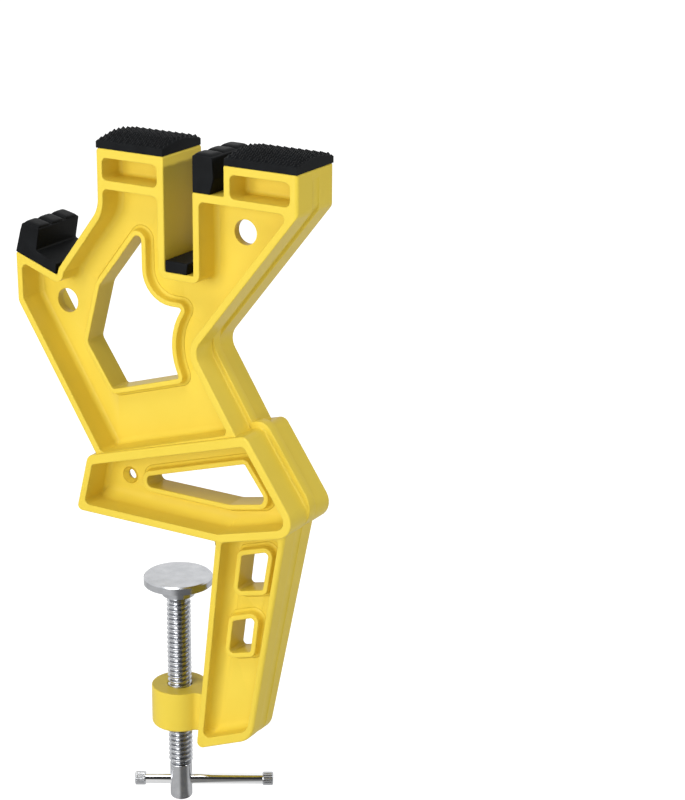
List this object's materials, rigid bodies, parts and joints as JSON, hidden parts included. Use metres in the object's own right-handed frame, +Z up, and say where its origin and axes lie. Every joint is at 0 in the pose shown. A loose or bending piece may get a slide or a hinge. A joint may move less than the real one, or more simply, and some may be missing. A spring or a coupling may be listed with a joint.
{
  "type": "ski tuning vise",
  "caption": "Moulded clamp-on vise that holds a ski flat, on edge in a slot or tilted in a cradle, with a screw clamp for a table edge.",
  "frame": {"origin": "where the screw axis meets the underside of the foot, which rests on the table", "axes": "+Z up along the clamp screw, +X towards the leg of the clamp, -Y towards the side seen in the picture"},
  "size_m": [0.1862, 0.0522, 0.4009],
  "materials": {
    "frame_plastic": "satin moulded glass-filled nylon",
    "pad_rubber": "matte moulded",
    "screw_steel": "bright zinc plated",
    "bar_chrome": "polished"
  },
  "bodies": {
    "frame": {"clamp_frame": "frame_plastic", "top_pad_left": "pad_rubber", "top_pad_right": "pad_rubber", "cradle_pad": "pad_rubber", "ledge_pad": "pad_rubber", "slot_pad": "pad_rubber"},
    "carrier": {"shoe_snap_ring": "screw_steel"},
    "shoe": {"shoe_plate": "screw_steel"},
    "screw": {"clamp_screw": "screw_steel"},
    "bar": {"handle_bar": "bar_chrome", "bar_cap_left": "bar_chrome", "bar_cap_right": "bar_chrome"}
  },
  "joints": [
    {"name": "screw_travel", "type": "slide", "parent": "frame", "child": "carrier", "axis": [0, 0, 1], "range_m": [-0.056, 0.026]},
    {"name": "screw_turn", "type": "hinge", "parent": "carrier", "child": "screw", "pos_m": [0, 0, -0.0429], "axis": [0, 0, 1], "range_deg": [-6721, 3121]},
    {"name": "shoe_tilt", "type": "hinge", "parent": "carrier", "child": "shoe", "pos_m": [0, 0, -0.0429], "axis": [0, 1, 0], "range_deg": [-4, 4]},
    {"name": "bar_slide", "type": "slide", "parent": "screw", "child": "bar", "axis": [0.859, 0.512, 0], "range_m": [-0.0418, 0.0143]}
  ],
  "couplings": [
    {"joint": "screw_turn", "follows": "screw_travel", "rad_per_m": 2094.4}
  ]
}
